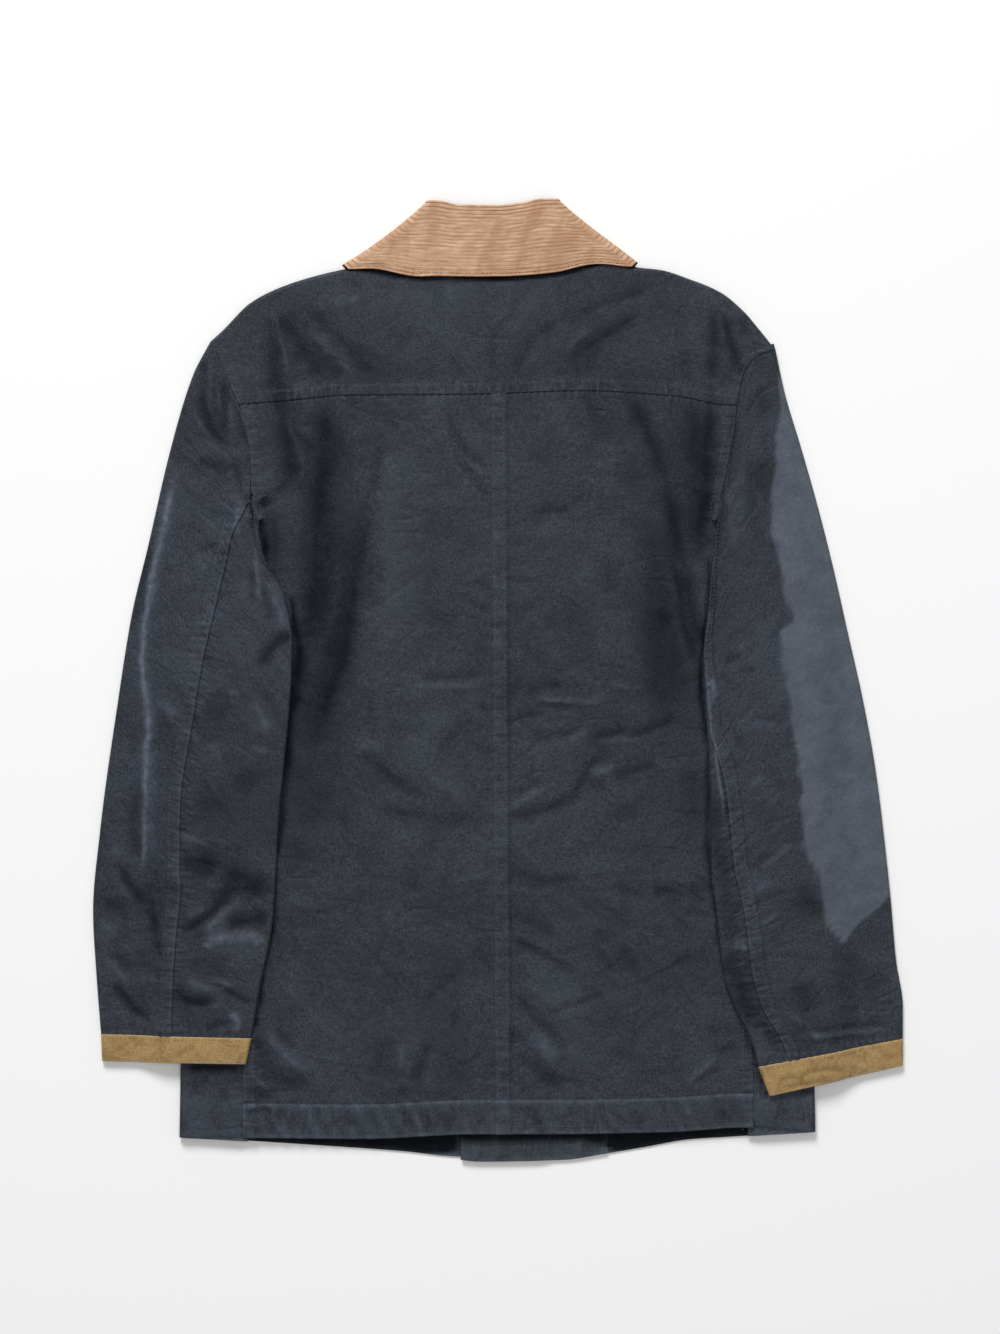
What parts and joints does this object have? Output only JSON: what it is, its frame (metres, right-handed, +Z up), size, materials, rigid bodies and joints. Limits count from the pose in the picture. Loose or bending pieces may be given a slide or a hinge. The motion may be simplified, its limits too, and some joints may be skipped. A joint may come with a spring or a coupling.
{
  "type": "waxed cotton jacket",
  "caption": "Hip-length waxed cotton jacket laid flat with its back up: yoke, corduroy collar, two-piece sleeves and canvas cuffs.",
  "frame": {"origin": "centre of the bounding box, on the surface that the jacket lies on", "axes": "+Y from the hem to the collar, +X to the wearer's right sleeve, +Z up from the surface, out of the jacket's back"},
  "size_m": [0.712, 0.8466, 0.0137],
  "materials": {
    "waxed_cotton": "dark navy waxed cotton, dull sheen, worn paler along seams",
    "corduroy": "tan corduroy, brushed pile",
    "cuff_canvas": "olive brown canvas, creased"
  },
  "bodies": {
    "root": {"front_left": "waxed_cotton", "front_right": "waxed_cotton", "front_facing": "waxed_cotton", "back_left": "waxed_cotton", "back_right": "waxed_cotton", "yoke": "waxed_cotton", "collar_fall": "corduroy", "collar_stand": "waxed_cotton", "sleeve_left_upper": "waxed_cotton", "sleeve_left_under": "waxed_cotton", "sleeve_right_upper": "waxed_cotton", "sleeve_right_under": "waxed_cotton", "cuff_left": "cuff_canvas", "cuff_right": "cuff_canvas"}
  },
  "joints": []
}
